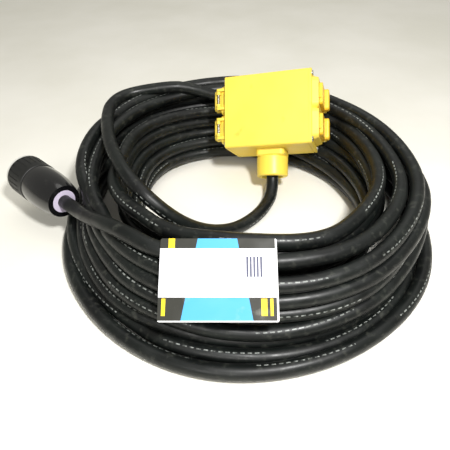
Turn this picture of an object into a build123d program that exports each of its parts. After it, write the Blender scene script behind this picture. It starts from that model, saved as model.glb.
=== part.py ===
"""Portable power distribution box: a yellow two-sided outlet box on a coiled four-core cord with a locking plug.

Millimetres. +X right, +Y away from the front, +Z up. The origin is on the table, at the middle of the coil.
The box lies on the back of the coil with its gland pointing forward and down, so its parts are placed
in the frame BOX: x from the left outlets to the right ones, y away from the gland, z out of the broad face.
"""

from build123d import *
from math import asin, atan2, cos, degrees, pi, radians, sin, tan
import os

os.makedirs("parts", exist_ok=True)

# Cord
CORD_D = 15.7
CORD_R = CORD_D / 2
BEND_SHARE = 0.45  # of the shorter run, which each bend's tangent uses

# Where the box lies
BOX_CENTRE = (39.5, 115.1, 85.4)
BOX_PITCH = 46.5  # of the gland's axis, below level
BOX_ROLL = 17.6  # about the gland's axis, right side up

# Box shell
SHELL_W, SHELL_L, SHELL_T = 103.1, 93.5, 70.0
SHELL_WALL = 4.0
SHELL_CORNER = 3.0

# Cover plates, in a plate frame: x along the box, y across it with the hinge at -y, z outward
GASKET_T = 1.0
FLANGE_T = 3.2
BOSS_H = 7.5
BOSS_L, BOSS_W, BOSS_CORNER = 42.0, 56.0, 8.0
BOSS_TAPER = 18.0
PLATE_TOP = FLANGE_T + BOSS_H
PLATE_SCREW_X, PLATE_SCREW_Y = 41.0, 30.0
SCREW_R = 1.75
SCREW_HEAD_R = 3.4
SCREW_HEAD_H = 1.8

# Outlets
OUTLET_PITCH = 38.9
FACE_L, FACE_W = 25.0, 29.0
FACE_GAP = 0.5
FACE_SINK = 0.8  # below the boss's top
BODY_L, BODY_W, BODY_T = 72.0, 32.0, 18.0
YOKE_L, YOKE_W, YOKE_T = 89.0, 17.0, 1.3
YOKE_SCREWS = 83.3
SLOT_L, SLOT_W, SLOT_PITCH = 7.2, 2.0, 12.7
GROUND_R, GROUND_X = 2.5, -7.6
SLOT_X = 3.4

# Flip lids
LID_L, LID_W, LID_H = 28.0, 41.5, 9.9
LID_WALL = 2.0
LID_CORNER = 4.0
LID_LIFT = 0.3
FLAP_T = 4.2
BLOCK_W = 13.0  # the raised part, beside the hinge
SEAL_T = 1.2
PIN_R = 1.2
PIN_FIT = 0.05
PIN_Y = -27.5
LID_NEAR = PIN_Y + 3.4
LID_Y = LID_NEAR + LID_W / 2
PIN_Z = PLATE_TOP + 3.2
PIN_L = 28.0
BARREL_R = 2.8
EAR_L = 3.6
KNUCKLE_L = 3.8
SPRING_WIRE = 0.8
SPRING_TURNS = 6

# Gland
NECK_W, NECK_L = 38.0, 9.0
GLAND_R, GLAND_L = 20.5, 35.25
GLAND_LIP = 4.0
GLAND_BORE = 12.5
MOUTH_DEPTH = 6.0
JACKET_END = 10.0  # inside the shell, where the four wires part

# Coil of cord
COIL_FLOOR_R = 219.0
COIL_MID_RADII = (216.0, 217.0, 216.0, 224.0, 198.0, 188.0, 186.0, 202.0)  # every 45 degrees from +X
COIL_TOP_RADII = (205.0, 208.0, 212.0, 225.0, 180.0, 152.0, 142.0, 168.0)
COIL_MID_H, COIL_H = 60.0, 93.0
HOLE_FLOOR = (11.0, 8.0, 132.0)  # x, y, radius
HOLE_TOP = (2.0, 31.0, 136.0, 159.0)  # x, y, radii
CLEARANCE = 2.5

# Cord route, from the gland to the coil and from the coil to the plug
LEAD = [  # after the straight part in the gland
    (38.7, 45.9, 16.2),
    (35.8, 34.3, 11.2),
    (29.8, 22.0, 8.8),
    (20.8, 6.5, 8.3),
    (7.5, -9.5, 8.2),
    (-10.5, -25.0, 9.5),
    (-32.0, -39.5, 17.5),
    (-55.0, -52.0, 33.0),
    (-78.0, -61.0, 55.5),
    (-103.0, -57.0, 79.0),
    (-127.5, -35.0, 92.0),
    (-145.0, -3.0, 94.0),
    (-156.0, 29.0, 94.0),
]
LEAD_STRAIGHT = 9.4
TAIL = [  # after the straight part behind the plug
    (-167.5, -68.5, 64.5),
    (-139.5, -96.5, 80.0),
    (-112.0, -120.0, 86.5),
    (-86.0, -139.5, 85.5),
]
TAIL_STRAIGHT = 26.0

# Plug
PLUG_BACK = (-209.0, -24.5, 51.0)
PLUG_FRONT = (-278.5, 40.0, 46.5)
PLUG_R, PLUG_L = 25.0, 90.0
PLUG_FRONT_L = 36.0
PLUG_WALL = 3.0
FACE_RIM_T = 3.5
REAR_R = 21.5
RING_R, RING_T = 13.8, 3.0
BLADE_CIRCLE_R = 12.4
BLADE_L = 17.0

# Card
CARD_W, CARD_H, CARD_T = 103.0, 73.0, 0.8
CARD_CENTRE = (-29.5, -167.5, 79.6)
CARD_TILT = 30.4

# ---------------------------------------------------------------- frames
pitch, roll = radians(BOX_PITCH), radians(BOX_ROLL)
BOX = Plane(
    origin=BOX_CENTRE,
    x_dir=(cos(roll), -sin(roll) * sin(pitch), sin(roll) * cos(pitch)),
    z_dir=(-sin(roll), -cos(roll) * sin(pitch), cos(roll) * cos(pitch)),
)


def on(frame, origin, x_dir=(1, 0, 0), z_dir=(0, 0, 1)):
    """A plane given in another frame's coordinates."""
    return Plane(frame.location * Plane(origin=origin, x_dir=x_dir, z_dir=z_dir).location)


def out(frame):
    """The axis a frame's features are raised along."""
    return Axis(frame.origin, frame.z_dir)


PLATES = {
    "left": on(BOX, (-SHELL_W / 2 - GASKET_T, 0, 0), (0, 1, 0), (-1, 0, 0)),
    "right": on(BOX, (SHELL_W / 2 + GASKET_T, 0, 0), (0, 1, 0), (1, 0, 0)),
}
OUTLETS = {"upper": OUTLET_PITCH / 2, "lower": -OUTLET_PITCH / 2}
GLAND = on(BOX, (0, -SHELL_L / 2, 0), (1, 0, 0), (0, -1, 0))
plug_way = Vector(*PLUG_FRONT) - Vector(*PLUG_BACK)
PLUG = Plane(origin=PLUG_BACK, x_dir=plug_way.cross(Vector(0, 0, 1)), z_dir=plug_way)
CARD = Plane(origin=CARD_CENTRE, x_dir=(1, 0, 0), z_dir=(0, -sin(radians(CARD_TILT)), cos(radians(CARD_TILT))))


def save(builder, name):
    builder.part.label = name
    export_step(builder.part, f"parts/{name}.step")


# ---------------------------------------------------------------- shell
with BuildPart() as box_shell:
    with BuildSketch(on(BOX, (-SHELL_W / 2, 0, 0), (0, 1, 0), (-1, 0, 0))) as outline:
        RectangleRounded(SHELL_L, SHELL_T, SHELL_CORNER)
    extrude(amount=-SHELL_W)
    with BuildSketch(on(BOX, (-SHELL_W / 2, 0, 0), (0, 1, 0), (-1, 0, 0))):
        RectangleRounded(SHELL_L - 2 * SHELL_WALL, SHELL_T - 2 * SHELL_WALL, SHELL_CORNER - 2)
    extrude(amount=-SHELL_W, mode=Mode.SUBTRACT)
    for side, way in (("left", -1), ("right", 1)):
        rim = on(BOX, (way * SHELL_W / 2, 0, 0), (0, 1, 0), (way, 0, 0))
        with BuildSketch(rim.offset(-YOKE_T - 0.2)):
            with Locations((-YOKE_SCREWS / 2, 0), (YOKE_SCREWS / 2, 0)):
                Rectangle(9, 20)
        extrude(amount=-16)
        with BuildSketch(rim):
            with GridLocations(2 * PLATE_SCREW_X, 2 * PLATE_SCREW_Y, 2, 2):
                Circle(4.6)
        extrude(amount=-14)
        with BuildSketch(rim):
            Rectangle(YOKE_L + 1, YOKE_W + 4)
        extrude(amount=-YOKE_T - 0.2, mode=Mode.SUBTRACT)
        with BuildSketch(rim):
            with GridLocations(2 * PLATE_SCREW_X, 2 * PLATE_SCREW_Y, 2, 2):
                Circle(SCREW_R)
            with GridLocations(YOKE_SCREWS, 0, 2, 1):
                Circle(SCREW_R)
        extrude(amount=-12, mode=Mode.SUBTRACT)
    with BuildSketch(GLAND.offset(-SHELL_WALL - 1)):
        Circle(GLAND_BORE)
    extrude(amount=SHELL_WALL + 2, mode=Mode.SUBTRACT)
save(box_shell, "box_shell")


# ---------------------------------------------------------------- plates, outlets and lids
def make_gasket(side, frame):
    with BuildPart() as gasket:
        with BuildSketch(frame.offset(-GASKET_T)):
            RectangleRounded(SHELL_L - 1, SHELL_T - 1, SHELL_CORNER - 0.5)
            RectangleRounded(SHELL_L - 14, SHELL_T - 22, 2, mode=Mode.SUBTRACT)
            Rectangle(YOKE_L + 1, YOKE_W + 4, mode=Mode.SUBTRACT)
            with GridLocations(2 * PLATE_SCREW_X, 2 * PLATE_SCREW_Y, 2, 2):
                Circle(SCREW_R, mode=Mode.SUBTRACT)
        extrude(amount=GASKET_T)
    save(gasket, f"{side}_plate_gasket")


def make_plate(side, frame):
    with BuildPart() as plate:
        with BuildSketch(frame):
            RectangleRounded(SHELL_L, SHELL_T, SHELL_CORNER)
        extrude(amount=FLANGE_T)
        chamfer(plate.faces().sort_by(out(frame))[-1].edges(), 0.5)
        for x in OUTLETS.values():
            with BuildSketch(on(frame, (x, 0, FLANGE_T))):
                RectangleRounded(BOSS_L, BOSS_W, BOSS_CORNER)
            extrude(amount=BOSS_H, taper=BOSS_TAPER)
            for end in (-1, 1):
                ear = on(frame, (x + end * (PIN_L / 2 - EAR_L / 2), PIN_Y, PIN_Z), (0, 1, 0), (1, 0, 0))
                with BuildSketch(ear.offset(-EAR_L / 2)):
                    Circle(BARREL_R)
                    with Locations((0.0, -(PIN_Z - FLANGE_T) / 2)):
                        Rectangle(2 * BARREL_R, PIN_Z - FLANGE_T)
                extrude(amount=EAR_L)
        with BuildSketch(frame.offset(-1)):
            with Locations(*[(x, 0) for x in OUTLETS.values()]):
                RectangleRounded(FACE_L + 2 * FACE_GAP, FACE_W + 2 * FACE_GAP, 6)
            with GridLocations(2 * PLATE_SCREW_X, 2 * PLATE_SCREW_Y, 2, 2):
                Circle(SCREW_R)
        extrude(amount=PLATE_TOP + 2, mode=Mode.SUBTRACT)
        with BuildSketch(frame):
            Rectangle(OUTLET_PITCH + FACE_L + 4, FACE_W + 4)
        extrude(amount=FLANGE_T + 1.5, mode=Mode.SUBTRACT)
        with BuildSketch(on(frame, (-SHELL_L, PIN_Y, PIN_Z), (0, 1, 0), (1, 0, 0))):
            Circle(PIN_R)
        extrude(amount=2 * SHELL_L, mode=Mode.SUBTRACT)
    save(plate, f"{side}_cover_plate")


def make_screws(name, frame, spots, length):
    """Slotted pan-head screws, heads on the frame's plane."""
    with BuildPart() as screws:
        with BuildSketch(frame):
            with Locations(*spots):
                Circle(SCREW_HEAD_R)
        extrude(amount=SCREW_HEAD_H)
        fillet(screws.faces().sort_by(out(frame))[-len(spots):].edges(), 1.0)
        with BuildSketch(frame):
            with Locations(*spots):
                Circle(SCREW_R - 0.05)
        extrude(amount=-length)
        with BuildSketch(frame.offset(SCREW_HEAD_H - 0.9)):
            with Locations(*spots):
                Rectangle(1.0, 3 * SCREW_HEAD_R)
        extrude(amount=1, mode=Mode.SUBTRACT)
    save(screws, name)


def make_outlet(side, frame):
    """A duplex receptacle: face, back, yoke, contacts and their screws."""
    yoke_level = -GASKET_T
    face_top = PLATE_TOP - FACE_SINK
    with BuildPart() as face:
        with BuildSketch(frame.offset(yoke_level)):
            Rectangle(OUTLET_PITCH + FACE_L + 2, FACE_W + 2)
        extrude(amount=GASKET_T + FLANGE_T + 1)
        with BuildSketch(frame.offset(FLANGE_T + 1)):
            with Locations(*[(x, 0) for x in OUTLETS.values()]):
                RectangleRounded(FACE_L, FACE_W, 5.5)
        extrude(amount=face_top - FLANGE_T - 1)
        with BuildSketch(frame.offset(face_top)):
            with Locations(*[(x + SLOT_X, y * SLOT_PITCH / 2) for x in OUTLETS.values() for y in (-1, 1)]):
                Rectangle(SLOT_L, SLOT_W)
            with Locations(*[(x + GROUND_X, 0) for x in OUTLETS.values()]):
                Circle(GROUND_R)
        extrude(amount=-7, mode=Mode.SUBTRACT)
    save(face, f"{side}_outlet_face")
    with BuildPart() as back:
        with BuildSketch(frame.offset(yoke_level - YOKE_T)):
            RectangleRounded(BODY_L, BODY_W, 3)
        extrude(amount=-BODY_T)
        chamfer(back.faces().sort_by(out(frame))[0].edges(), 2)
        with BuildSketch(frame.offset(yoke_level - YOKE_T - 3)):
            with Locations(*[(x, y * BODY_W / 2) for x in OUTLETS.values() for y in (-1, 1)]):
                Rectangle(11, 8)
        extrude(amount=-9, mode=Mode.SUBTRACT)
    save(back, f"{side}_outlet_back")
    with BuildPart() as yoke:
        with BuildSketch(frame.offset(yoke_level)):
            RectangleRounded(YOKE_L, YOKE_W, 3)
            with GridLocations(YOKE_SCREWS, 0, 2, 1):
                Circle(SCREW_R + 0.2, mode=Mode.SUBTRACT)
        extrude(amount=-YOKE_T)
    save(yoke, f"{side}_outlet_yoke")
    with BuildPart() as screws:
        for x in OUTLETS.values():
            for way in (-1, 1):
                spot = (x, way * (BODY_W / 2 - 4), yoke_level - YOKE_T - 7.5)
                with BuildSketch(on(frame, spot, (1, 0, 0), (0, way, 0))):
                    Circle(3.2)
                extrude(amount=2.2)
    save(screws, f"{side}_terminal_screws")
    spots = [(-YOKE_SCREWS / 2, 0), (YOKE_SCREWS / 2, 0)]
    with BuildPart() as screws:
        with BuildSketch(frame.offset(yoke_level)):
            with Locations(*spots):
                Circle(3.2)
        extrude(amount=GASKET_T - 0.2)
        with BuildSketch(frame.offset(yoke_level)):
            with Locations(*spots):
                Circle(SCREW_R - 0.05)
        extrude(amount=-9)
    save(screws, f"{side}_yoke_screws")


def make_lid(side, which, frame, x):
    """A spring lid: cap, seal, hinge pin and torsion spring."""
    name = f"{side}_{which}"
    bottom = PLATE_TOP + LID_LIFT
    knuckle_x = PIN_L / 2 - EAR_L - 0.4 - KNUCKLE_L / 2
    with BuildPart() as lid:
        with BuildSketch(on(frame, (x, LID_Y, bottom))):
            RectangleRounded(LID_L, LID_W, LID_CORNER)
        extrude(amount=FLAP_T)
        fillet(lid.faces().sort_by(out(frame))[-1].edges(), 1.2)
        with BuildSketch(on(frame, (x, LID_NEAR + BLOCK_W / 2, bottom))):
            RectangleRounded(LID_L, BLOCK_W, LID_CORNER)
        extrude(amount=LID_H)
        fillet(lid.faces().sort_by(out(frame))[-1].edges(), 2.4)
        with BuildSketch(on(frame, (x, LID_NEAR + LID_W + 0.8, bottom))):
            Rectangle(13, 4)
        extrude(amount=2.4)
        for way in (-1, 1):
            plane = on(frame, (x + way * knuckle_x, PIN_Y, PIN_Z), (0, 1, 0), (1, 0, 0))
            with BuildSketch(plane.offset(-KNUCKLE_L / 2)):
                Circle(BARREL_R)
                with Locations((2.0, 0.4)):
                    Rectangle(4.4, 3.2)
            extrude(amount=KNUCKLE_L)
        with BuildSketch(on(frame, (x, LID_Y, bottom))):
            RectangleRounded(LID_L - 2 * LID_WALL, LID_W - 2 * LID_WALL, LID_CORNER - 1.5)
        extrude(amount=FLAP_T - LID_WALL, mode=Mode.SUBTRACT)
        with BuildSketch(on(frame, (x - PIN_L, PIN_Y, PIN_Z), (0, 1, 0), (1, 0, 0))):
            Circle(PIN_R + PIN_FIT)
        extrude(amount=2 * PIN_L, mode=Mode.SUBTRACT)
    save(lid, f"{name}_lid")
    with BuildPart() as seal:
        with BuildSketch(on(frame, (x, LID_Y, bottom + FLAP_T - LID_WALL))):
            RectangleRounded(LID_L - 2 * LID_WALL, LID_W - 2 * LID_WALL, LID_CORNER - 1.5)
        extrude(amount=-SEAL_T)
        with BuildSketch(on(frame, (x, LID_Y, bottom + FLAP_T - LID_WALL - SEAL_T))):
            RectangleRounded(LID_L - 2 * LID_WALL - 0.4, LID_W - 2 * LID_WALL - 0.4, LID_CORNER - 1.7)
            RectangleRounded(LID_L - 2 * LID_WALL - 3, LID_W - 2 * LID_WALL - 3, 1.5, mode=Mode.SUBTRACT)
        extrude(amount=-(FLAP_T - LID_WALL - SEAL_T - 0.1))
    save(seal, f"{name}_lid_seal")
    with BuildPart() as pin:
        with BuildSketch(on(frame, (x - PIN_L / 2 - 0.5, PIN_Y, PIN_Z), (0, 1, 0), (1, 0, 0))):
            Circle(PIN_R)
        extrude(amount=PIN_L + 1)
        chamfer(pin.edges().filter_by(GeomType.CIRCLE), 0.3)
    save(pin, f"{name}_hinge_pin")
    spring_l = 2 * (knuckle_x - KNUCKLE_L / 2) - 1.0
    spring_r = PIN_R + 0.25 + SPRING_WIRE / 2
    axis = on(frame, (x - spring_l / 2 + SPRING_WIRE / 2, PIN_Y, PIN_Z), (0, 1, 0), (1, 0, 0))
    with BuildPart() as spring:
        turns_l = spring_l - SPRING_WIRE
        wire = Helix(turns_l / SPRING_TURNS, turns_l, spring_r)
        wire = axis.location * wire
        with BuildSketch(Plane(origin=wire @ 0, z_dir=wire % 0)):
            Circle(SPRING_WIRE / 2)
        sweep(path=wire)
    save(spring, f"{name}_lid_spring")


for side, frame in PLATES.items():
    make_gasket(side, frame)
    make_plate(side, frame)
    corners = [(i * PLATE_SCREW_X, j * PLATE_SCREW_Y) for i in (-1, 1) for j in (-1, 1)]
    make_screws(f"{side}_plate_screws", frame.offset(FLANGE_T), corners, FLANGE_T + GASKET_T + 9)
    make_outlet(side, frame)
    for which, x in OUTLETS.items():
        make_lid(side, which, frame, x)

# ---------------------------------------------------------------- gland
with BuildPart() as gland_neck:
    with BuildSketch(GLAND):
        RectangleRounded(NECK_W, NECK_W, 6)
    extrude(amount=NECK_L)
    chamfer(gland_neck.faces().sort_by(out(GLAND))[-1].edges(), 1.5)
    with BuildSketch(GLAND.offset(NECK_L)):
        Circle(GLAND_BORE + 4)
    extrude(amount=14)
    with BuildSketch(GLAND.offset(-1)):
        Circle(GLAND_BORE)
    extrude(amount=NECK_L + 20, mode=Mode.SUBTRACT)
save(gland_neck, "gland_neck")

with BuildPart() as gland_nut:
    with BuildSketch(GLAND.offset(NECK_L)):
        Circle(GLAND_R)
    extrude(amount=GLAND_L - NECK_L)
    fillet(gland_nut.faces().sort_by(out(GLAND))[-1].edges(), 2.5)
    chamfer(gland_nut.faces().sort_by(out(GLAND))[0].edges(), 0.8)
    with BuildSketch(GLAND.offset(NECK_L)):
        Circle(GLAND_BORE + 4)
    extrude(amount=14, mode=Mode.SUBTRACT)
    with BuildSketch(GLAND.offset(NECK_L)):
        Circle(GLAND_R - GLAND_LIP - 2)
    extrude(amount=GLAND_L, mode=Mode.SUBTRACT)
save(gland_nut, "gland_nut")

with BuildPart() as gland_grommet:
    with BuildSketch(GLAND.offset(NECK_L + 14)):
        Circle(GLAND_R - GLAND_LIP - 2)
        Circle(CORD_R, mode=Mode.SUBTRACT)
    extrude(amount=GLAND_L - NECK_L - 14 - MOUTH_DEPTH)
    with BuildSketch(GLAND.offset(1)):
        Circle(GLAND_BORE)
        Circle(CORD_R, mode=Mode.SUBTRACT)
    extrude(amount=NECK_L + 13)
save(gland_grommet, "gland_grommet")

with BuildPart() as cord_end:
    with BuildSketch(GLAND.offset(0.3 - JACKET_END)):
        Circle(CORD_R)
    extrude(amount=JACKET_END - 0.3 + GLAND_L - MOUTH_DEPTH)
save(cord_end, "cord_end")


# ---------------------------------------------------------------- wires in the box
def bend_radii(points, share=BEND_SHARE):
    """One radius for each corner of a route: as large as its two runs allow."""
    radii = []
    for before, at, after in zip(points, points[1:], points[2:]):
        first, second = Vector(*at) - Vector(*before), Vector(*after) - Vector(*at)
        half_turn = radians(first.get_angle(second)) / 2
        radii.append(share * min(first.length, second.length) / tan(half_turn))
    return radii


def make_tube(name, points, radius):
    """A round tube along straight runs joined by tangent arcs."""
    radii = bend_radii(points)
    with BuildPart() as tube:
        with BuildLine() as route:
            FilletPolyline(*points, radius=radii)
        path = route.wires()[0]
        with BuildSketch(Plane(origin=path @ 0, z_dir=path % 0)):
            Circle(radius)
        sweep(path=path)
    save(tube, name)
    expected = pi * radius**2 * path.length
    print(f"{name}: length {path.length:.1f}, volume share {tube.part.volume / expected:.4f},", end=" ")
    print("bend radii in diameters", [round(r / radius / 2, 1) for r in radii])
    return path.length


WIRE_R = 2.0
WIRE_SPREAD = 3.0
wire_y = -SHELL_L / 2 + JACKET_END
terminals = {
    "black_wire": ("right", "upper", 1),
    "red_wire": ("left", "upper", 1),
    "white_wire": ("right", "lower", -1),
    "green_wire": ("left", "lower", -1),
}
for (name, (side, which, edge)), (sx, sz) in zip(terminals.items(), ((1, 1), (-1, 1), (1, -1), (-1, -1))):
    reach = SHELL_W / 2 - YOKE_T - 7.5
    way = 1 if side == "right" else -1
    route = [
        (sx * WIRE_SPREAD, wire_y, sz * WIRE_SPREAD),
        (sx * WIRE_SPREAD, wire_y + 5, sz * WIRE_SPREAD),
        (sx * (WIRE_SPREAD + 3), wire_y + 10, sz * (WIRE_SPREAD + 7)),
        (sx * 14, wire_y + 17, sz * (BODY_W / 2 + 6)),
        (sx * 28, OUTLETS[which] - 8, sz * (BODY_W / 2 + 8)),
        (sx * (reach - 1), OUTLETS[which], sz * (BODY_W / 2 + 4.2)),
    ]
    make_tube(name, [tuple(BOX.from_local_coords(Vector(*p))) for p in route], WIRE_R)

# ---------------------------------------------------------------- cord
mouth = [tuple(GLAND.from_local_coords(Vector(0, 0, GLAND_L - MOUTH_DEPTH + far))) for far in (0, LEAD_STRAIGHT)]
lead_l = make_tube("cord_lead", mouth + LEAD, CORD_R)
collar = [tuple(PLUG.from_local_coords(Vector(0, 0, -back))) for back in (0, TAIL_STRAIGHT)]
tail_l = make_tube("cord_tail", collar + TAIL, CORD_R)


def around(radii):
    """Points of a closed outline with the given radii at equal angles."""
    step = 2 * pi / len(radii)
    return [(r * cos(i * step), r * sin(i * step)) for i, r in enumerate(radii)]


floor_radii = [COIL_FLOOR_R] * len(COIL_TOP_RADII)
with BuildPart() as cord_coil:
    for low, low_z, high, high_z in (
        (floor_radii, 0, COIL_MID_RADII, COIL_MID_H),
        (COIL_MID_RADII, COIL_MID_H, COIL_TOP_RADII, COIL_H),
    ):
        for radii, z in ((low, low_z), (high, high_z)):
            with BuildSketch(Plane.XY.offset(z)):
                with BuildLine():
                    Spline(*around(radii), periodic=True)
                make_face()
        loft()
    with BuildSketch(Plane.XY):
        with Locations(HOLE_FLOOR[:2]):
            Circle(HOLE_FLOOR[2])
    with BuildSketch(Plane.XY.offset(COIL_H)):
        with Locations(HOLE_TOP[:2]):
            Ellipse(*HOLE_TOP[2:])
    loft(mode=Mode.SUBTRACT)
    # room for the box, the lids' swing and the plug
    with BuildSketch(on(BOX, (0, 0, -SHELL_T / 2 - CLEARANCE))):
        Rectangle(SHELL_W + 2 * (GASKET_T + FLANGE_T + CLEARANCE), SHELL_L + 2 * CLEARANCE)
    extrude(amount=2 * SHELL_T, mode=Mode.SUBTRACT)
    for frame in PLATES.values():
        swing = PIN_Z + LID_W + 9
        with BuildSketch(on(frame, (0, (25 + PIN_Y - 10) / 2, 0))):
            Rectangle(OUTLET_PITCH + BOSS_L + 2 * CLEARANCE, 35 - PIN_Y)
        extrude(amount=swing, mode=Mode.SUBTRACT)
    with BuildSketch(PLUG.offset(-CLEARANCE)):
        Circle(PLUG_R)
    extrude(amount=PLUG_L, mode=Mode.SUBTRACT)
save(cord_coil, "cord_coil")

# ---------------------------------------------------------------- plug
with BuildPart() as plug_rear:
    with BuildSketch(PLUG):
        Circle(REAR_R - 2)
    with BuildSketch(PLUG.offset(8)):
        Circle(REAR_R)
    with BuildSketch(PLUG.offset(PLUG_L - PLUG_FRONT_L)):
        Circle(PLUG_R - 0.8)
    loft()
    with BuildSketch(PLUG.offset(-1)):
        Circle(RING_R)
    extrude(amount=1 + RING_T, mode=Mode.SUBTRACT)
    with BuildSketch(PLUG):
        Circle(CORD_R)
    extrude(amount=PLUG_L, mode=Mode.SUBTRACT)
    with BuildSketch(PLUG.offset(14)):
        Circle(REAR_R - 4)
    extrude(amount=PLUG_L, mode=Mode.SUBTRACT)
save(plug_rear, "plug_rear_cap")

with BuildPart() as plug_ring:
    with BuildSketch(PLUG):
        Circle(RING_R)
        Circle(CORD_R, mode=Mode.SUBTRACT)
    extrude(amount=RING_T)
save(plug_ring, "plug_cord_ring")

with BuildPart() as plug_front:
    with BuildSketch(PLUG.offset(PLUG_L - PLUG_FRONT_L)):
        Circle(PLUG_R)
    extrude(amount=PLUG_FRONT_L - FACE_RIM_T)
    fillet(plug_front.faces().sort_by(out(PLUG))[-1].edges(), 0.6)
    chamfer(plug_front.faces().sort_by(out(PLUG))[0].edges(), 0.6)
    with BuildSketch(PLUG):
        Circle(PLUG_R - PLUG_WALL)
    extrude(amount=PLUG_L, mode=Mode.SUBTRACT)
    with BuildSketch(PLUG.offset(PLUG_L - PLUG_FRONT_L + 8)):
        with PolarLocations(PLUG_R + 0.6, 24):
            Rectangle(2.2, 2.2)
    extrude(amount=PLUG_FRONT_L - 14, mode=Mode.SUBTRACT)
save(plug_front, "plug_front_shell")


def blade_arcs(grow=0.0):
    Circle(BLADE_CIRCLE_R + 1.0 + grow)
    Circle(BLADE_CIRCLE_R - 1.0 - grow, mode=Mode.SUBTRACT)
    for turn in (45, 135):
        Rectangle(40, 10 - grow, rotation=turn, mode=Mode.SUBTRACT)


FACE_BACK = PLUG_L - 16
with BuildPart() as plug_face:
    with BuildSketch(PLUG.offset(FACE_BACK)):
        Circle(PLUG_R - PLUG_WALL)
    extrude(amount=PLUG_L - FACE_RIM_T - FACE_BACK)
    with BuildSketch(PLUG.offset(PLUG_L - FACE_RIM_T)):
        Circle(PLUG_R - 0.2)
    extrude(amount=FACE_RIM_T)
    fillet(plug_face.faces().sort_by(out(PLUG))[-1].edges(), 1.0)
    with BuildSketch(PLUG.offset(FACE_BACK)):
        blade_arcs()
    extrude(amount=PLUG_L, mode=Mode.SUBTRACT)
save(plug_face, "plug_face")

with BuildPart() as plug_blades:
    with BuildSketch(PLUG.offset(FACE_BACK - 6)):
        blade_arcs()
    extrude(amount=18 + BLADE_L)
    with BuildSketch(PLUG.offset(FACE_BACK + 12 + BLADE_L - 9)):
        with PolarLocations(BLADE_CIRCLE_R, 4, start_angle=-20):
            Rectangle(4, 3.2)
    extrude(amount=4, mode=Mode.SUBTRACT)
save(plug_blades, "plug_blades")

with BuildPart() as plug_clamp:
    with BuildSketch(PLUG.offset(18)):
        Circle(REAR_R - 6)
        Circle(CORD_R, mode=Mode.SUBTRACT)
    extrude(amount=9)
save(plug_clamp, "plug_cord_clamp")

with BuildPart() as plug_cord_end:
    with BuildSketch(PLUG):
        Circle(CORD_R)
    extrude(amount=40)
save(plug_cord_end, "plug_cord_end")

with BuildPart() as plug_screws:
    with BuildSketch(PLUG.offset(PLUG_L)):
        Circle(3.4)
    extrude(amount=1.6)
    with BuildSketch(PLUG.offset(PLUG_L + 1)):
        Rectangle(1.0, 8)
    extrude(amount=1, mode=Mode.SUBTRACT)
save(plug_screws, "plug_assembly_screw")

# ---------------------------------------------------------------- card
with BuildPart() as info_card:
    with BuildSketch(CARD):
        RectangleRounded(CARD_W, CARD_H, 2)
    extrude(amount=CARD_T)
save(info_card, "info_card")

print(f"cord: lead {lead_l:.0f}, tail {tail_l:.0f}")
for side, frame in PLATES.items():
    for which, x in OUTLETS.items():
        hinge = frame.from_local_coords(Vector(x, PIN_Y, PIN_Z))
        print(f"{side} {which} hinge", [round(c, 3) for c in hinge], [round(c, 6) for c in frame.x_dir])
for name, frame, spot in (
    ("plug", PLUG, (0, 0, PLUG_L)),
    ("left outlets", PLATES["left"], (0, 0, PLATE_TOP - FACE_SINK)),
    ("right outlets", PLATES["right"], (0, 0, PLATE_TOP - FACE_SINK)),
    ("gland", GLAND, (0, 0, GLAND_L - MOUTH_DEPTH)),
):
    place = frame.from_local_coords(Vector(*spot))
    print(name, [round(c, 3) for c in place], [round(c, 6) for c in frame.z_dir])
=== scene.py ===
import math

import bpy
import numpy as np
from mathutils import Matrix, Vector


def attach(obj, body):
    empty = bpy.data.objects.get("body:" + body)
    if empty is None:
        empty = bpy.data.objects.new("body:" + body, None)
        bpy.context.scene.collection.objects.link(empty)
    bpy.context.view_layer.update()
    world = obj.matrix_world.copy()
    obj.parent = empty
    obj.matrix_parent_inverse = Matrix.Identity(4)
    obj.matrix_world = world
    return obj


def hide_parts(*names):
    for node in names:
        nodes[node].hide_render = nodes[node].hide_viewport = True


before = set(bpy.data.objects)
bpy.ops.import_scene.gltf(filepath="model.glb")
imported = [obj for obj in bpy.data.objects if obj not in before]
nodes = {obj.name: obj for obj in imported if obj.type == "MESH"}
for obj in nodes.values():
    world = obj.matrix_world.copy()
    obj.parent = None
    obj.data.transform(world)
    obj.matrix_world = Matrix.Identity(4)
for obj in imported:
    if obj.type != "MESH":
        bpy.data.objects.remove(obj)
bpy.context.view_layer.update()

ROOT = "box_and_cord"
MM = 0.001
CORD_D = 0.0157
PITCH, ROLL = math.radians(46.5), math.radians(17.6)
BOX_CENTRE = Vector((39.5, 115.1, 85.4)) * MM
BOX_U = Vector((math.cos(ROLL), -math.sin(ROLL) * math.sin(PITCH), math.sin(ROLL) * math.cos(PITCH)))
BOX_V = Vector((0, math.cos(PITCH), math.sin(PITCH)))
BOX_W = BOX_U.cross(BOX_V)

BUMP_DEPTH = 0.0003
# the cord's print: where round the jacket it runs, as shares of a turn, and how often it repeats
PRINT_LINE = (0.675, 0.70)
DASHES_PER_M, STRETCHES_PER_M = 150.0, 6.5

CARD_W, CARD_H = 0.103, 0.073
CARD_CENTRE = (-0.0295, -0.1675, 0.0796)
CARD_TILT = math.radians(30.4)
# the card's print, in shares of its width and height; a field is left, right, top and low
WEDGE_MIDDLE, WEDGE_HALF, WEDGE_SPREAD = 0.49, 0.17, 0.13
YELLOW_BLOCKS = (
    (0.07, 0.125, 0.0, 0.13),
    (0.03, 0.062, 0.73, 0.93),
    (0.855, 0.905, 0.73, 0.93),
    (0.93, 0.955, 0.73, 0.93),
)
WHITE_BAND = (0.125, 0.716)
BARS_FIELD = (0.735, 0.88, 0.225, 0.475)
BARS_ACROSS = 34.0
CARD_EDGE = 0.985  # the pale right and lower edges begin here


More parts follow.
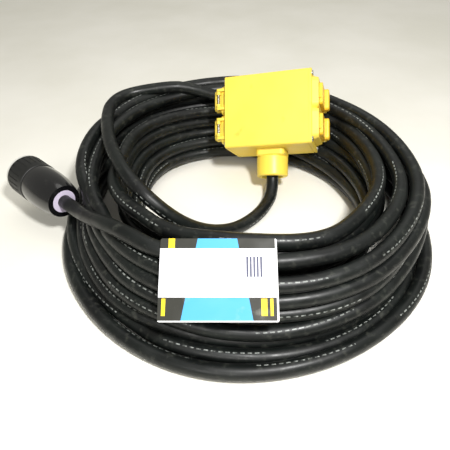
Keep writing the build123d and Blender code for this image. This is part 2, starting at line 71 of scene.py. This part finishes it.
# ---------------------------------------------------------------- materials
def srgb(*rgb):
    """Linear colour from display values out of 255."""
    return tuple(((c / 255 + 0.055) / 1.055) ** 2.4 if c > 10 else c / 255 / 12.92 for c in rgb)


class Shader:
    """A material and short calls that add nodes to it.

    A socket takes a number, a colour or another node's output.
    """

    def __init__(self, name, roughness=0.5, metallic=0.0, **sockets):
        self.material = bpy.data.materials.new(name)
        self.material.use_nodes = True
        self.tree = self.material.node_tree
        self.out = self.tree.nodes["Principled BSDF"]
        self.out.inputs["Roughness"].default_value = roughness
        self.out.inputs["Metallic"].default_value = metallic
        for socket, value in sockets.items():
            self.out.inputs[socket.replace("_", " ")].default_value = value
        self.place = self.add("TexCoord").outputs["Object"]

    def add(self, kind, values=None, **settings):
        node = self.tree.nodes.new("ShaderNode" + kind)
        for key, value in settings.items():
            setattr(node, key, value)
        for key, value in (values or {}).items():
            self.join(value, node.inputs[key])
        return node

    def join(self, value, socket):
        if isinstance(value, bpy.types.NodeSocket):
            self.tree.links.new(value, socket)
        else:
            socket.default_value = (*value, 1) if isinstance(value, tuple) and len(value) == 3 else value

    def noise(self, scale, detail=3.0):
        return self.add("TexNoise", {"Vector": self.place, "Scale": scale, "Detail": detail}).outputs["Fac"]

    def spread(self, value, low, high, to_low=0.0, to_high=1.0):
        values = {"Value": value, "From Min": low, "From Max": high, "To Min": to_low, "To Max": to_high}
        return self.add("MapRange", values).outputs["Result"]

    def mix(self, share, a, b):
        node = self.add("Mix", {0: share, 6: a, 7: b}, data_type="RGBA")
        return node.outputs[2]

    def math(self, operation, *values):
        return self.add("Math", dict(enumerate(values)), operation=operation).outputs[0]

    def both(self, a, b):
        return self.math("MULTIPLY", a, b)

    def inside(self, value, low, high):
        return self.both(self.math("GREATER_THAN", value, low), self.math("LESS_THAN", value, high))

    def stripes(self, value, each_unit, share):
        """1 over the first share of every repeat, of which there are so many to a unit."""
        return self.math("LESS_THAN", self.math("FRACT", self.math("MULTIPLY", value, each_unit)), share)

    def colour(self, value):
        self.join(value, self.out.inputs["Base Color"])

    def gloss(self, scale, low, high):
        """Roughness that drifts between two values."""
        self.join(self.spread(self.noise(scale), 0.35, 0.65, low, high), self.out.inputs["Roughness"])

    def bump(self, height, strength):
        node = self.add("Bump", {"Height": height, "Strength": strength, "Distance": BUMP_DEPTH})
        self.join(node.outputs["Normal"], self.out.inputs["Normal"])


def moulded(name, colour, marks, rough=(0.35, 0.5), marked=0.64, grain=0.06, **sockets):
    """Moulded plastic or rubber: slow colour drift, handling marks, uneven gloss and a fine grain.

    Marks show where their noise is above marked, so a higher value leaves fewer of them.
    """
    s = Shader(name, **sockets)
    deep = tuple(c * 0.90 for c in colour)
    tone = s.mix(s.spread(s.noise(14.0), 0.35, 0.65), deep, colour)
    smear = s.spread(s.noise(55.0, 6.0), marked, marked + 0.10, 0.0, 0.55)
    s.colour(s.mix(smear, tone, marks))
    s.gloss(38.0, *rough)
    s.bump(s.noise(1400.0, 2.0), grain)
    return s.material


def metal(name, colour):
    """Plated metal with a fine grain and dulled patches."""
    s = Shader(name, metallic=1.0)
    dull = tuple(c * 0.75 for c in colour)
    s.colour(s.mix(s.spread(s.noise(120.0, 5.0), 0.4, 0.65), colour, dull))
    s.gloss(260.0, 0.2, 0.38)
    s.bump(s.noise(2600.0, 2.0), 0.08)
    return s.material


def jacket(name, printed):
    """Rubber cord jacket: patches of dust, a fine grain and, where printed, a line of plain dashes."""
    s = Shader(name, Specular_IOR_Level=0.34)
    base = s.mix(s.spread(s.noise(22.0), 0.35, 0.65), srgb(10, 12, 12), srgb(20, 24, 22))
    dust = s.spread(s.noise(150.0, 7.0), 0.56, 0.80, 0.0, 0.22)
    tone = s.mix(dust, base, srgb(112, 114, 104))
    if printed:
        along = s.add("SeparateXYZ", {0: s.add("UVMap", uv_map="run").outputs["UV"]})
        run, turn = along.outputs[0], s.math("FRACT", along.outputs[1])
        band = s.inside(turn, *PRINT_LINE)
        dash = s.stripes(run, DASHES_PER_M, 0.6)
        stretch = s.stripes(run, STRETCHES_PER_M, 0.62)
        worn = s.spread(s.noise(300.0, 4.0), 0.40, 0.62, 1.0, 0.15)
        tone = s.mix(s.both(s.both(band, dash), s.both(stretch, worn)), tone, srgb(138, 142, 138))
    s.colour(tone)
    s.gloss(60.0, 0.33, 0.50)
    s.bump(s.noise(700.0, 3.0), 0.12)
    return s.material


def printed_card(name):
    """The card's generic print: dark sides, a blue wedge, a white band, small yellow blocks, no lettering."""
    s = Shader(name, Specular_IOR_Level=0.25)
    flat = s.add("Mapping", {"Vector": s.place}, vector_type="TEXTURE")
    flat.inputs["Location"].default_value = CARD_CENTRE
    flat.inputs["Rotation"].default_value = (CARD_TILT, 0, 0)
    on_card = s.add("SeparateXYZ", {0: flat.outputs["Vector"]})
    across = s.math("MULTIPLY_ADD", on_card.outputs[0], 1 / CARD_W, 0.5)
    down = s.math("MULTIPLY_ADD", on_card.outputs[1], -1 / CARD_H, 0.5)

    def field(left, right, top, low):
        return s.both(s.inside(across, left, right), s.inside(down, top, low))

    half = s.math("MULTIPLY_ADD", down, WEDGE_SPREAD, WEDGE_HALF)
    off_middle = s.math("ABSOLUTE", s.math("SUBTRACT", across, WEDGE_MIDDLE))
    tone = s.mix(s.math("LESS_THAN", off_middle, half), srgb(44, 44, 38), srgb(74, 160, 214))
    for block in YELLOW_BLOCKS:
        tone = s.mix(field(*block), tone, srgb(232, 206, 40))
    tone = s.mix(s.inside(down, *WHITE_BAND), tone, srgb(236, 236, 240))
    bars = s.both(s.stripes(across, BARS_ACROSS, 0.6), field(*BARS_FIELD))
    tone = s.mix(bars, tone, srgb(70, 72, 96))
    past_side, past_foot = (s.math("GREATER_THAN", way, CARD_EDGE) for way in (across, down))
    tone = s.mix(s.math("MAXIMUM", past_side, past_foot), tone, srgb(246, 246, 246))
    scuff = s.spread(s.noise(60.0, 6.0), 0.62, 0.74, 0.0, 0.18)
    s.colour(s.mix(scuff, tone, srgb(190, 188, 176)))
    s.gloss(40.0, 0.45, 0.62)
    s.bump(s.noise(300.0, 2.0), 0.05)
    return s.material


def paper(name):
    """The floor: pale, faintly mottled and matt."""
    s = Shader(name, roughness=0.75)
    s.colour(s.mix(s.spread(s.noise(5.0, 5.0), 0.35, 0.65), srgb(236, 234, 224), srgb(244, 242, 234)))
    s.bump(s.noise(220.0, 4.0), 0.08)
    return s.material


SHELL = moulded("yellow shell", srgb(246, 216, 80), srgb(206, 170, 40), (0.40, 0.54), marked=0.66)
# the right lids' yellow: the shell's own plastic, painted deeper and more orange as shade, since they lie on
# the shaded side
SHADED_YELLOW = moulded("yellow painted shade", srgb(248, 200, 56), srgb(200, 140, 30), (0.32, 0.46), marked=0.66)
CORD = jacket("cord jacket", printed=False)
PRINTED_CORD = jacket("printed cord jacket", printed=True)
GASKET = moulded("gasket", srgb(30, 30, 28), srgb(70, 70, 64), (0.6, 0.8))
STEEL = metal("steel", srgb(205, 205, 200))
BRASS = metal("brass", srgb(200, 170, 100))
DARK = moulded("dark plastic", srgb(46, 46, 44), srgb(80, 80, 74), (0.4, 0.6))
PLUG_MATT = moulded("plug matt", srgb(20, 21, 20), srgb(58, 58, 50), (0.38, 0.55), marked=0.60, grain=0.14)
PLUG_GLOSS = moulded(
    "plug gloss", srgb(14, 14, 16), srgb(44, 44, 42), (0.14, 0.26), grain=0.03, Coat_Weight=0.5
)
RING = moulded("pale ring", srgb(206, 196, 218), srgb(150, 140, 160), (0.4, 0.55))
NYLON = moulded("pale nylon", srgb(214, 214, 208), srgb(170, 168, 158))
CARD_PRINT = printed_card("printed card")
BLACK = moulded("black insulation", srgb(20, 20, 20), srgb(50, 50, 50))
WHITE = moulded("white insulation", srgb(235, 235, 232), srgb(200, 198, 190))
RED = moulded("red insulation", srgb(190, 30, 25), srgb(140, 26, 22))
GREEN = moulded("green insulation", srgb(30, 130, 60), srgb(24, 96, 46))


def paint(names, m):
    for name in names:
        nodes[name].data.materials.clear()
        nodes[name].data.materials.append(m)


def named(*ends):
    return [n for n in nodes if n.endswith(ends)]


paint(["box_shell", "gland_neck", "gland_nut"] + named("plate_gasket", "cover_plate"), SHELL)
# every lid first takes the yellow with painted shade; the left lids then take the shell's yellow, so only the
# right lids keep the painted shade
paint(named("_lid"), SHADED_YELLOW)
paint(["left_upper_lid", "left_lower_lid"], SHELL)
paint(named("seal") + ["gland_grommet"], GASKET)
paint(named("plate_screws", "hinge_pin", "spring", "yoke", "yoke_screws", "assembly_screw"), STEEL)
paint(named("outlet_face", "outlet_back") + ["plug_cord_clamp"], DARK)
paint(named("terminal_screws") + ["plug_blades"], BRASS)
paint(["cord_end", "plug_cord_end"], CORD)
paint(["plug_cord_ring"], RING)
paint(["plug_face"], NYLON)
paint(["plug_rear_cap"], PLUG_GLOSS)
paint(["plug_front_shell"], PLUG_MATT)
paint(["info_card"], CARD_PRINT)
paint(["black_wire"], BLACK)
paint(["white_wire"], WHITE)
paint(["red_wire"], RED)
paint(["green_wire"], GREEN)

# ---------------------------------------------------------------- cord
PLUG_BACK = Vector((-209.0, -24.5, 51.0))
PLUG_FRONT = Vector((-278.5, 40.0, 46.5))
PLUG_AXIS = (PLUG_FRONT - PLUG_BACK).normalized()

GLAND_FACE = 46.75 + 29.25  # from the box's centre to where the cord leaves it
LEAD_STRAIGHT = 9.4
TAIL_STRAIGHT = 26.0
LEAD = [
    tuple(BOX_CENTRE / MM - BOX_V * GLAND_FACE),
    tuple(BOX_CENTRE / MM - BOX_V * (GLAND_FACE + LEAD_STRAIGHT)),
    (38.7, 45.9, 16.2),
    (35.8, 34.3, 11.2),
    (29.8, 22.0, 8.8),
    (20.8, 6.5, 8.3),
    (7.5, -9.5, 8.2),
    (-10.5, -25.0, 9.5),
    (-32.0, -39.5, 17.5),
    (-55.0, -52.0, 33.0),
    (-78.0, -61.0, 55.5),
    (-103.0, -57.0, 79.0),
    (-127.5, -35.0, 92.0),
    (-145.0, -3.0, 94.0),
    (-158.5, 28.0, 94.0),
    (-169.0, 62.0, 94.0),
    (-176.0, 96.0, 94.0),
    (-178.5, 126.0, 94.0),
    (-170.0, 152.0, 94.5),
    (-150.0, 166.0, 95.5),
    (-118.0, 171.0, 99.0),
    (-80.0, 174.0, 100.5),
]
TAIL = [
    (-86.0, -139.5, 85.5),
    (-112.0, -120.0, 86.5),
    (-139.5, -96.5, 80.0),
    (-167.5, -68.5, 64.5),
    tuple(PLUG_BACK - PLUG_AXIS * TAIL_STRAIGHT),
    tuple(PLUG_BACK),
]

SLOTS = 14.6  # turns in a cross-section: up the inner wall, over the top and down the outer one
# heading from +X: inner foot, inner top, its height, shoulder, its height, outer foot, reach on the table
SECTIONS = {
    0: (149, 153, 80, 200, 78, 207, 211),
    45: (146, 160, 84, 202, 82, 207, 209),
    90: (140, 198, 90, 208, 90, 211, 211),
    135: (148, 182, 84, 214, 88, 216, 216),
    180: (129, 146, 66, 200, 86, 212, 214),
    225: (126, 132, 76, 188, 74, 200, 213),
    270: (128, 131, 86, 174, 64, 184, 214),
    315: (140, 142, 84, 186, 70, 196, 215),
}
START = 110.0  # heading where the lead joins the pile
INNER_TURNS = 5.5
UNDER_TURNS = 0.44
REACH_TURNS = 0.75
OUTER_TURNS = 7.7
LAST_SLOT = 6.3
STEPS = 40  # points in a turn
FLOOR = CORD_D / 2 / MM


def section(heading, share):
    """Radius and height at a share of the way over the pile, from the inner foot to the reach."""
    keys = sorted(SECTIONS)
    at = (heading % 360) / 45
    low, mix = int(at) % 8, at - int(at)
    mix = mix * mix * (3 - 2 * mix)
    a, b = (np.array(SECTIONS[keys[i % 8]], float) for i in (low, low + 1))
    foot, top, top_z, shoulder, shoulder_z, outer, reach = a + (b - a) * mix
    corners = np.array([(foot, FLOOR), (top, top_z), (shoulder, shoulder_z), (outer, FLOOR), (reach, FLOOR)])
    run = np.r_[0, np.cumsum(np.linalg.norm(np.diff(corners, axis=0), axis=1))]
    want = share * run[-1]
    return np.interp(want, run, corners[:, 0]), np.interp(want, run, corners[:, 1])


def pile():
    """The wound turns: down the inner wall, out under the pile, and back up over the outside."""
    points = []
    under = INNER_TURNS + UNDER_TURNS
    total = under + OUTER_TURNS
    climb = (SLOTS - 1 - LAST_SLOT) / (OUTER_TURNS - REACH_TURNS)
    for i in range(int(total * STEPS) + 1):
        turn = i / STEPS
        heading = START - 360 * turn
        if turn < INNER_TURNS:
            r, z = section(heading, (INNER_TURNS - turn) / (SLOTS - 1))
        elif turn < under:
            mix = (turn - INNER_TURNS) / UNDER_TURNS
            inner, outer = section(heading, 0)[0], section(heading, 1)[0]
            r, z = inner + (outer - inner) * mix, FLOOR
        else:
            up = max(0.0, turn - under - REACH_TURNS) * climb
            r, z = section(heading, 1 - up / (SLOTS - 1))
        a = math.radians(heading)
        points.append((r * math.cos(a), r * math.sin(a), z))
    return np.array(points)


def wander(points, seed, amount):
    """Slow, small, repeatable sideways drifts, so that no two turns lie quite alike."""
    rng = np.random.default_rng(seed)
    t = np.arange(len(points)) / STEPS
    drift = np.zeros_like(points)
    for cycles in (0.7, 1.3, 2.1, 3.4):
        phase = rng.uniform(0, 2 * math.pi, 3)
        drift += amount / cycles**0.5 * np.sin(2 * math.pi * cycles * t[:, None] + phase)
    return points + drift


# what the turns lie clear of, low and high corners in the box's own frame
LIES_CLEAR = [
    ((-55.8, -46.8, -35), (55.8, 46.8, 35)),  # shell
    ((-74, -35, -18), (-54, 35, 31)),  # left lids
    ((54, -35, -31), (74, 35, 18)),  # right lids
    ((60, -36, -33), (80, -4, 20)),  # where the lower right lid swings
    ((80, -36, -14), (98, -4, 20)),
]
PLUG_CLEAR_R = 25.0
# at the plug's end the turns lie under it and its cord: heading, and the radius where only table turns fit
UNDER_TAIL = ((166, 176, 190, 202, 215, 228, 250), (260, 238, 200, 195, 192, 198, 260))
UNDER_TAIL_Z, UNDER_TAIL_RISE = 20.0, 1.8
TURN_GAP = CORD_D / MM * 0.985
ROOM = TURN_GAP / 2 + 0.6  # from a turn's centre to the box or the plug
PLUG_BACK_ROOM = 2.0
ROUNDS, LAST_ROUNDS = 70, 12  # the last rounds only part the turns, without evening them out


def part_turns(points, neighbours):
    """Turns nearer than a cord's thickness pushed apart; points close along the run don't count."""
    gap = points[:, None, :] - points[None, :, :]
    far = np.linalg.norm(gap, axis=2)
    hit = (far < TURN_GAP) & ~neighbours
    push = np.where(hit, (TURN_GAP - far) / np.maximum(far, 1e-6) * 0.25, 0.0)
    move = (gap * push[:, :, None]).sum(1)
    count = np.maximum(hit.sum(1), 1)[:, None] ** 0.5
    return points + move / count


def even_out(points, target):
    """Each point's drift from its target drawn towards its neighbours' drift."""
    drift = points - target
    smooth = (np.roll(drift, 1, 0) + np.roll(drift, -1, 0)) / 2
    return target + 0.97 * (drift + 0.4 * (smooth - drift))


def clear_box(points):
    """Points inside a LIES_CLEAR block moved out below it."""
    centre = np.array(BOX_CENTRE / MM)
    axes = np.array([BOX_U, BOX_V, BOX_W])
    for low, high in LIES_CLEAR:
        local = (points - centre) @ axes.T
        within = np.all((local > np.array(low) - ROOM) & (local < np.array(high) + ROOM), axis=1)
        depth = np.where(within, local[:, 2] - low[2] + ROOM, 0.0)
        points = points - depth[:, None] * axes[2]
    return points


def clear_plug(points):
    """Points too near the plug's axis moved away from it."""
    back, way = np.array(PLUG_BACK), np.array(PLUG_AXIS)
    plug_length = (PLUG_FRONT - PLUG_BACK).length
    on_axis = back + np.clip((points - back) @ way, -PLUG_BACK_ROOM, plug_length)[:, None] * way
    off = points - on_axis
    off_far = np.linalg.norm(off, axis=1)
    short = np.maximum(PLUG_CLEAR_R + ROOM - off_far, 0.0)
    return points + off / np.maximum(off_far, 1e-6)[:, None] * short[:, None]


def duck_tail(points):
    """Points above the roof under the tail lowered and drawn in."""
    heading = np.degrees(np.arctan2(points[:, 1], points[:, 0])) % 360
    limit = np.interp(heading, *UNDER_TAIL)
    roof = UNDER_TAIL_Z + (limit - np.hypot(points[:, 0], points[:, 1])) * UNDER_TAIL_RISE
    above = np.maximum(points[:, 2] - np.maximum(roof, UNDER_TAIL_Z), 0.0)
    points[:, 2] -= 0.5 * above
    points[:, :2] *= (1 - 0.25 * above / np.hypot(points[:, 0], points[:, 1]))[:, None]
    return points


def relax(points, fixed):
    """The route settled: turns apart and evened out, off the table, the box and the plug."""
    target = points.copy()
    index = np.arange(len(points))
    neighbours = np.abs(index[:, None] - index[None, :]) < STEPS // 3
    for step in range(ROUNDS):
        points = part_turns(points, neighbours)
        if step < ROUNDS - LAST_ROUNDS:
            points = even_out(points, target)
        points = duck_tail(clear_plug(clear_box(points)))
        points[:, 2] = np.maximum(points[:, 2], FLOOR)
        points[fixed] = target[fixed]
    return points


wound = wander(pile(), seed=7, amount=1.6)[2:-2]  # the lead and the tail take over from the ends
route = np.vstack([np.array(LEAD), wound, np.array(TAIL)])
# the lead but its last point, and the tail but its first, stay where they are drawn
fixed = np.r_[np.arange(len(LEAD) - 1), np.arange(len(route) - len(TAIL) + 1, len(route))]
route = relax(route, fixed)


def centreline(points):
    """The route's smooth line: a NURBS spline with the route's points as its control points."""
    curve = bpy.data.curves.new("route", "CURVE")
    curve.dimensions = "3D"
    curve.resolution_u = 4
    spline = curve.splines.new("NURBS")
    spline.points.add(len(points) - 1)
    for point, co in zip(spline.points, points):
        point.co = (*(co * MM), 1)
    spline.order_u = 3
    spline.use_endpoint_u = True
    holder = bpy.data.objects.new("route", curve)
    mesh = bpy.data.meshes.new_from_object(holder)
    line = np.array([v.co[:] for v in mesh.vertices])
    bpy.data.objects.remove(holder)
    bpy.data.meshes.remove(mesh)
    return line


def tube(name, line, radius, sides=16):
    """A round tube along a line, its UV map giving metres along the run and the share of a turn around it."""
    ways = np.gradient(line, axis=0)
    ways /= np.linalg.norm(ways, axis=1)[:, None]
    side = np.cross(ways[0], (0.3, 0.2, 1.0))  # any start that isn't along the cord
    rings, runs = [], np.r_[0, np.cumsum(np.linalg.norm(np.diff(line, axis=0), axis=1))]
    angles = np.linspace(0, 2 * math.pi, sides, endpoint=False)
    for at, way in zip(line, ways):
        side = side - way * side.dot(way)
        side /= np.linalg.norm(side)
        up = np.cross(way, side)
        rings.append(at + radius * (np.cos(angles)[:, None] * side + np.sin(angles)[:, None] * up))
    corners = np.vstack(rings)
    twist = 1 + 0.14 * np.sin(2.3 * runs) + 0.08 * np.sin(5.9 * runs)
    faces, uvs = [], []
    for i in range(len(line) - 1):
        for j in range(sides):
            k = (j + 1) % sides
            faces.append((i * sides + j, i * sides + k, (i + 1) * sides + k, (i + 1) * sides + j))
            low, high = j / sides, (j + 1) / sides
            a, b = twist[i], twist[i + 1]
            uvs += [(runs[i], low + a), (runs[i], high + a), (runs[i + 1], high + b), (runs[i + 1], low + b)]
    last = (len(line) - 1) * sides
    faces += [tuple(range(sides))[::-1], tuple(range(last, last + sides))]
    uvs += [(0.0, 0.0)] * (2 * sides)
    mesh = bpy.data.meshes.new(name)
    mesh.from_pydata([tuple(c) for c in corners], [], faces)
    layer = mesh.uv_layers.new(name="run")
    layer.data.foreach_set("uv", np.array(uvs, dtype=np.float32).ravel())
    mesh.shade_smooth()
    mesh.update()
    obj = bpy.data.objects.new(name, mesh)
    bpy.context.scene.collection.objects.link(obj)
    return obj


line = centreline(route)
cord = tube("cord", line, CORD_D / 2)
cord.data.materials.append(PRINTED_CORD)
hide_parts("cord_lead", "cord_coil", "cord_tail")
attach(cord, ROOT)

# ---------------------------------------------------------------- stage
bpy.ops.mesh.primitive_plane_add(size=6, location=(0, 0, -0.0002))
floor = bpy.context.object
floor.name = "floor"
floor.data.materials.append(paper("floor"))


def area_light(name, location, target, size_m, watts, colour):
    light = bpy.data.lights.new(name, "AREA")
    light.shape = "DISK"
    light.size = size_m
    light.energy = watts
    light.color = colour
    obj = bpy.data.objects.new(name, light)
    bpy.context.scene.collection.objects.link(obj)
    obj.location = location
    obj.rotation_euler = (Vector(target) - Vector(location)).to_track_quat("-Z", "Y").to_euler()


area_light("flash", (0.14, -0.42, 0.66), (0, 0.02, 0.03), 0.09, 7.0, (1.0, 0.99, 0.98))
area_light("sky", (0.2, 0.6, 1.6), (0, 0.1, 0), 1.8, 9.0, (1.0, 0.99, 0.96))
area_light("front", (-0.3, -1.5, 1.0), (0, -0.2, 0), 0.8, 10.0, (1.0, 0.99, 0.96))

world = bpy.data.worlds.new("world")
world.use_nodes = True
world.node_tree.nodes["Background"].inputs["Color"].default_value = (1.0, 0.98, 0.89, 1)
world.node_tree.nodes["Background"].inputs["Strength"].default_value = 0.35
bpy.context.scene.world = world

# ---------------------------------------------------------------- camera
CAMERA_AT = Vector((-0.0238, -0.4179, 0.3674))
LOOKS_AT = Vector((-0.0238, -0.0084, 0.0))
camera_data = bpy.data.cameras.new("camera")
camera_data.sensor_width = 36
camera_data.lens = 34.976
camera = bpy.data.objects.new("camera", camera_data)
bpy.context.scene.collection.objects.link(camera)
camera.location = CAMERA_AT
camera.rotation_euler = (LOOKS_AT - CAMERA_AT).to_track_quat("-Z", "Y").to_euler()
camera_data.clip_start = 0.01
bpy.context.scene.camera = camera
bpy.context.scene.view_settings.view_transform = "Standard"
